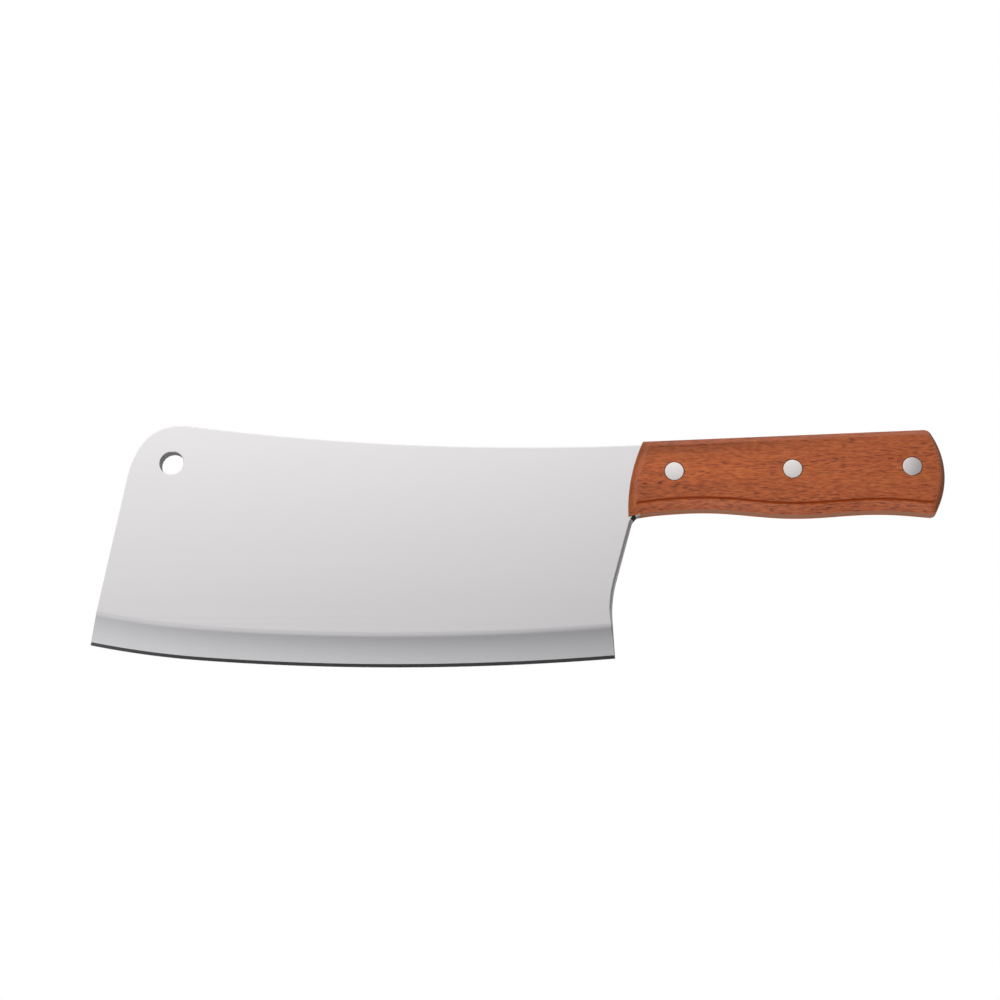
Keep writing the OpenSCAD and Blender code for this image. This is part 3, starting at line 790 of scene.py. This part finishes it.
class CLEAVER_OT_blade(bpy.types.Operator):
    """Build the steel blade with its tang, edge grind and holes"""
    bl_idname = "cleaver.blade"
    bl_label = "Blade"

    def rim(self, plan, ring, inward, breaks):
        """Wall from face to face with both edges eased, then a narrow level strip on each face.

        The ease turns a quarter circle: in by 1 - cosine and down from the face by 1 - sine of the turn.
        """
        turns = np.linspace(0, math.pi / 2, RIM_POINTS)[:, None]
        ease = np.minimum(breaks, EASE_SHARE * plan.half_thickness(ring))
        offsets = np.concatenate([ease * (1 - np.cos(turns)), [ease + STRIP * plan.blade.edge_break]])
        drops = np.concatenate([ease * (1 - np.sin(turns)), [0 * ease]])
        flat = ring + offsets[..., None] * inward
        upper = np.concatenate([flat, (plan.half_thickness(flat) - drops)[..., None]], 2)
        return np.concatenate([upper[::-1] * (1, 1, -1), upper]), flat[-1]

    def breaks(self, plan, seam_u):
        """Ease at each point of the steel: edge_break, which grows to heel_break round heel and throat."""
        blade = plan.blade
        u, v = plan.steel.T
        at_heel = (u > -blade.waist_bend) & (v < plan.under(seam_u, 0) + blade.edge_break)
        reach = np.where(at_heel, np.clip((seam_u + blade.throat_bend - u) / blade.throat_bend, 0, 1), 0)
        reach *= np.clip((v - plan.heel[1] - blade.bevel_width / 2) / blade.bevel_width, 0, 1)
        return blade.edge_break + (blade.heel_break - blade.edge_break) * reach

    def wall_zones(self, plan, seam_u):
        """Zone of the wall at each point: lacquered along the grip, painted shade in the throat's hollow,
        satin elsewhere.
        """
        u, v = plan.steel.T
        below = v < plan.rivet_points[0, 1]
        past = (u - plan.blade.throat_out) / plan.blade.throat_bend
        lacquered = np.where(below, past > LACQUER_START, u > seam_u)
        # Painted shade in the throat's hollow, just past the throat and below the rivets
        dark = below & (past > 0) & (past < THROAT_SHADE_END)
        return np.where(lacquered, TANG, np.where(dark, THROAT_SHADE, SATIN))

    def execute(self, context):
        scene = context.scene
        plan, blade, rivets = cleaver_plan(scene), scene.cleaver_blade, scene.cleaver_rivets
        finish, seam_u = scene.cleaver_finish, plan.front_run(0)[0, 0]
        shell = Shell()
        walls, border = self.rim(plan, plan.steel, inward_normals(plan.steel), self.breaks(plan, seam_u))
        shell.grid(walls, np.tile(np.roll(self.wall_zones(plan, seam_u), -1), len(walls) - 1))
        holes = []
        bores = [(plan.hang, blade.hang_diameter / 2)]
        bores += [(p, rivets.socket_diameter / 2 + rivets.gap) for p in plan.rivet_points]
        for centre, radius in bores:
            ring = circle(centre, radius)
            walls, hole = self.rim(plan, ring, -inward_normals(ring), blade.edge_break)
            shell.grid(walls)
            holes.append(hole)
        room = STRIP_ROOM * blade.edge_break
        lines = [run[inside(run, border) & clear_of(run, border, room)] for run in plan.bevel_lines()]
        flat, faces = fill(border, holes, lines)
        height = plan.half_thickness(flat)
        distance = plan.edge_distance(flat[faces].mean(1))
        shoulder = blade.bevel_width - plan.shoulder_reach / 2
        zone = np.where(distance < blade.honed_width, HONED, np.where(distance < shoulder, BEVEL, SATIN))
        for side in (1, -1):
            shell.add(raised(flat, side * height), faces, zone)
        for points in shell.points:
            points += (*plan.shift, middle_height(scene))
        steels = [ground_surface("Satin Steel", finish.steel, finish.steel_roughness),
                  ground_surface("Ground Bevel", finish.bevel, finish.steel_roughness),
                  ground_surface("Honed Edge", finish.honed, finish.honed_roughness),
                  ground_surface("Lacquered Tang", finish.tang, finish.tang_roughness, 0.0),
                  # Painted shade for the throat's hollow under the grip
                  ground_surface("Painted Throat Shade", finish.throat, finish.tang_roughness)]
        settle(shell.object("blade_steel_plate", steels), "blade_steel", "blade")
        return {"FINISHED"}


class CLEAVER_OT_scales(bpy.types.Operator):
    """Build both wooden scales with their facets and rivet holes"""
    bl_idname = "cleaver.scales"
    bl_label = "Scales"

    def marks(self, plan, section, crease_at):
        """Marks over the scale's grid: above 0 for painted shade along the lower crease and below 0 on end
        grain.

        The crease's painted shade falls with the distance from it and shows only along the grip's underside,
        and end grain's mark falls as the outline turns along the grip and as the section leaves the tang.
        """
        grip = plan.grip
        from_crease = np.linalg.norm(section - crease_at, axis=1)
        on_facet = section[:, 0] < grip.facet_width + grip.crease_ease / 2
        # Painted shade along the lower crease and, fainter, on the face's strip just above its step
        crease = np.where(on_facet, np.clip(CREASE_LEVEL - from_crease / grip.crease_fade, 0, 1),
                          STEP_SHADE * np.clip(1 - from_crease / (FACE_STRIP * grip.crease_ease), 0, 1))
        x, y = inward_normals(plan.grip_outline(0)).T
        ends = np.clip(1 - GRAIN_FALL * (1 - np.abs(x)), 0, 1) * np.where(x > 0, FRONT_GRAIN, 1)
        grain = np.clip(GRAIN_LEVEL - section[:, 0] / grip.facet_width, 0, 1)
        # The painted shade shows only along the grip's underside, which faces away from the light
        return crease[:, None] * np.clip(y, 0, 1) - grain[:, None] * ends

    def execute(self, context):
        scene = context.scene
        plan, grip, rivets = cleaver_plan(scene), scene.cleaver_grip, scene.cleaver_rivets
        finish, ease, top = scene.cleaver_finish, grip.crease_ease, grip.scale_thickness
        woods = [wood_material("Lacquered Redwood", finish, plan, finish.wood_gloss),
                 wood_material("Dull Redwood", finish, plan, finish.dull_gloss)]
        low, high = np.array([0, grip.side_height]), np.array([grip.facet_width, top - grip.step_height])
        rise = high - low
        outward = unit(np.array([-rise[1], rise[0]]))
        crowned = [low + t * rise + 4 * grip.facet_crown * t * (1 - t) * outward for t in (0.25, 0.5, 0.75)]
        section = eased_profile([(ease, 0), (0, 0), low, *crowned, high, (grip.facet_width, top),
                                 (grip.facet_width + FACE_STRIP * ease, top)], ease, SCALE_CORNER)
        rings = np.stack([raised(plan.grip_outline(g), z) for g, z in section])
        shaded = self.marks(plan, section, high)
        head, bore = rivets.head_diameter / 2 + rivets.gap, rivets.socket_diameter / 2 + rivets.gap
        seat = top - rivets.head_thickness
        around, heads, bores = ([circle(p, r) for p in plan.rivet_points] for r in (head + ease, head, bore))
        for side in SIDES:
            shell = Shell()
            shell.grid(rings, dull_cells(shaded), shaded)
            for wide, outer, inner in zip(around, heads, bores):
                levels = [(wide, top), (outer, top), (outer, seat), (inner, seat), (inner, 0)]
                # Each hole's walls and a thin ring of the face round its head take the end-grain mark, so the
                # face darkens towards the head
                mark = np.repeat([0, -1, -1, -1, -1], CIRCLE_POINTS).reshape(len(levels), -1)
                shell.grid(np.stack([raised(ring, z) for ring, z in levels]), dull_cells(mark), mark)
            for ring, cuts, z in ((rings[-1], around, top), (rings[0], bores, 0)):
                flat, faces = fill(ring[:, :2], cuts)
                shell.add(raised(flat, z), faces)
            turn, base = (1, top + scene.cleaver_blade.thickness) if side == "front" else (-1, top)
            for points in shell.points:
                points *= (1, 1, turn)
                points += (*plan.shift, base)
            settle(shell.object("grip_scale_" + side, woods, "crease"), "grip_wood", "scale_" + side)
        return {"FINISHED"}


class CLEAVER_OT_rivets(bpy.types.Operator):
    """Build the studs and sockets of the pressed rivets"""
    bl_idname = "cleaver.rivets"
    bl_label = "Rivets"

    def execute(self, context):
        scene = context.scene
        plan, grip, rivets = cleaver_plan(scene), scene.cleaver_grip, scene.cleaver_rivets
        finish, thickness, cap = scene.cleaver_finish, scene.cleaver_blade.thickness, rivets.head_thickness
        material = ground_surface("Ground Aluminium", finish.rivet, finish.rivet_roughness)
        head, shank, stud = rivets.head_diameter / 2, rivets.socket_diameter / 2, rivets.stud_diameter / 2
        full = thickness + 2 * grip.scale_thickness
        under_head = full - cap
        socket_top = grip.scale_thickness + thickness + rivets.socket_past
        bore_floor = cap + rivets.socket_floor
        stud_end = bore_floor + rivets.stud_room
        profiles = {
            "stud": [(AXIS, stud_end), (stud, stud_end), (stud, socket_top), (shank, socket_top),
                     (shank, under_head), (head, under_head), (head, full), (AXIS, full)],
            "socket": [(AXIS, 0), (head, 0), (head, cap), (shank, cap), (shank, socket_top),
                       (stud, socket_top), (stud, bore_floor), (AXIS, bore_floor)],
        }
        for kind, corners in profiles.items():
            profile = eased_profile(corners, rivets.head_ease, RIVET_CORNER)
            for place, centre in zip(RIVET_PLACES, plan.rivet_points):
                rings = np.stack([raised(circle(centre, r), z) for r, z in profile]) + (*plan.shift, 0)
                shell = Shell()
                shell.grid(rings)
                for ring in (rings[0], rings[-1]):
                    shell.add(ring, [list(range(len(ring)))])
                name = "_".join(("rivet", kind, place))
                settle(shell.object(name + "_turned", [material]), "rivet_metal", name)
        return {"FINISHED"}


class CLEAVER_OT_stage(bpy.types.Operator):
    """Set up the white floor, the soft light and the camera"""
    bl_idname = "cleaver.stage"
    bl_label = "Stage"

    def execute(self, context):
        scene = context.scene
        stage = scene.cleaver_stage
        scene.view_settings.view_transform = "Standard"
        self.camera(scene, stage)
        self.floor(scene, stage)
        self.surroundings(scene)
        return {"FINISHED"}

    def camera(self, scene, stage):
        """Looks down on the cleaver from in front of its edge, with X level in the picture's middle."""
        target = Vector((stage.target_x, stage.target_y, middle_height(scene)))
        offset = Vector((stage.camera_x, stage.camera_y, stage.camera_z))
        back = offset.normalized()
        right = (Vector((1, 0, 0)) - back * back.x).normalized()
        upward = back.cross(right)
        data = bpy.data.cameras.new("Camera")
        data.lens = stage.lens
        data.sensor_width = SENSOR_WIDTH
        camera = bpy.data.objects.new("Camera", data)
        turn = Matrix((right, upward, back)).transposed()
        camera.matrix_world = Matrix.Translation(target + offset) @ turn.to_4x4()
        scene.collection.objects.link(camera)
        scene.camera = camera

    def floor(self, scene, stage):
        """A white floor under the cleaver, on which the camera sees no shade."""
        half = stage.floor_size / 2
        mesh = bpy.data.meshes.new("Floor")
        corners = [(-half, -half, 0), (half, -half, 0), (half, half, 0), (-half, half, 0)]
        mesh.from_pydata(corners, [], [(0, 1, 2, 3)])
        floor = bpy.data.objects.new("Floor", mesh)
        scene.collection.objects.link(floor)
        material = bpy.data.materials.new("White Floor")
        tree = empty_tree(material)
        matt = node(tree, "BsdfDiffuse", Color=(*[FLOOR_GREY] * 3, 1))
        white_to_camera(tree, "Emission", "OutputMaterial", matt)
        mesh.materials.append(material)

    def surroundings(self, scene):
        """A light tent: brightest beyond the spine, dark round the camera, with a lamp box in front.

        The dark and the box fade with the distance from their direction, stretched along each axis.
        """
        scene.world = bpy.data.worlds.new("Light Tent")
        tree = empty_tree(scene.world)
        direction = node(tree, "TexCoord").outputs["Generated"]
        x, y, _ = node(tree, "SeparateXYZ", i0=direction).outputs
        tip_side, butt_side = (curve(tree, y, stops, -1.0, 1.0, PEAK) for stops in (TIP_SIDE, BUTT_SIDE))
        tent = mix_colour(tree, remap(tree, x, *SIDE_FADE), tip_side, butt_side)
        tent = mix_colour(tree, 1.0, tent, curve(tree, x, LENGTHWISE, -1.0, 1.0, 1.0), "MULTIPLY")
        for middle, reach, near, far, level in (CAMERA_SHADE, LAMP_BOX):
            offset = vector_maths(tree, "DIVIDE", vector_maths(tree, "SUBTRACT", direction, middle), reach)
            patch = remap(tree, vector_maths(tree, "LENGTH", offset), near, far, 1.0, 0.0)
            tent = mix_colour(tree, patch, tent, [level] * 3)
        glow = node(tree, "Background", Color=tent, Strength=PEAK)
        white_to_camera(tree, "Background", "OutputWorld", glow)


class CLEAVER_PT_panel(bpy.types.Panel):
    """Lists the cleaver's operators and sizes"""
    bl_label = "Chinese Cleaver"
    bl_idname = "CLEAVER_PT_panel"
    bl_space_type = "VIEW_3D"
    bl_region_type = "UI"
    bl_category = "Cleaver"

    def draw(self, context):
        for operator in OPERATORS:
            self.layout.operator(operator.bl_idname)
        for name, group in GROUPS.items():
            box = self.layout.box()
            box.label(text=name.replace("cleaver_", "").capitalize())
            for key in group.__annotations__:
                box.prop(getattr(context.scene, name), key)


OPERATORS = (CLEAVER_OT_stage, CLEAVER_OT_blade, CLEAVER_OT_scales, CLEAVER_OT_rivets)
GROUPS = {"cleaver_blade": CleaverBladeSizes, "cleaver_grip": CleaverGripSizes,
          "cleaver_rivets": CleaverRivetSizes, "cleaver_finish": CleaverFinish,
          "cleaver_stage": CleaverStageSizes}


def register():
    """Registers the groups, operators and panel, and hangs the groups on the scene."""
    for name, group in GROUPS.items():
        bpy.utils.register_class(group)
        setattr(bpy.types.Scene, name, PointerProperty(type=group))
    for operator in OPERATORS:
        bpy.utils.register_class(operator)
    bpy.utils.register_class(CLEAVER_PT_panel)


def unregister():
    """Takes back what register() added."""
    bpy.utils.unregister_class(CLEAVER_PT_panel)
    for operator in reversed(OPERATORS):
        bpy.utils.unregister_class(operator)
    for name, group in reversed(GROUPS.items()):
        delattr(bpy.types.Scene, name)
        bpy.utils.unregister_class(group)


def main():
    register()
    bpy.ops.cleaver.stage()
    bpy.ops.cleaver.blade()
    bpy.ops.cleaver.scales()
    bpy.ops.cleaver.rivets()


if __name__ == "__main__":
    main()
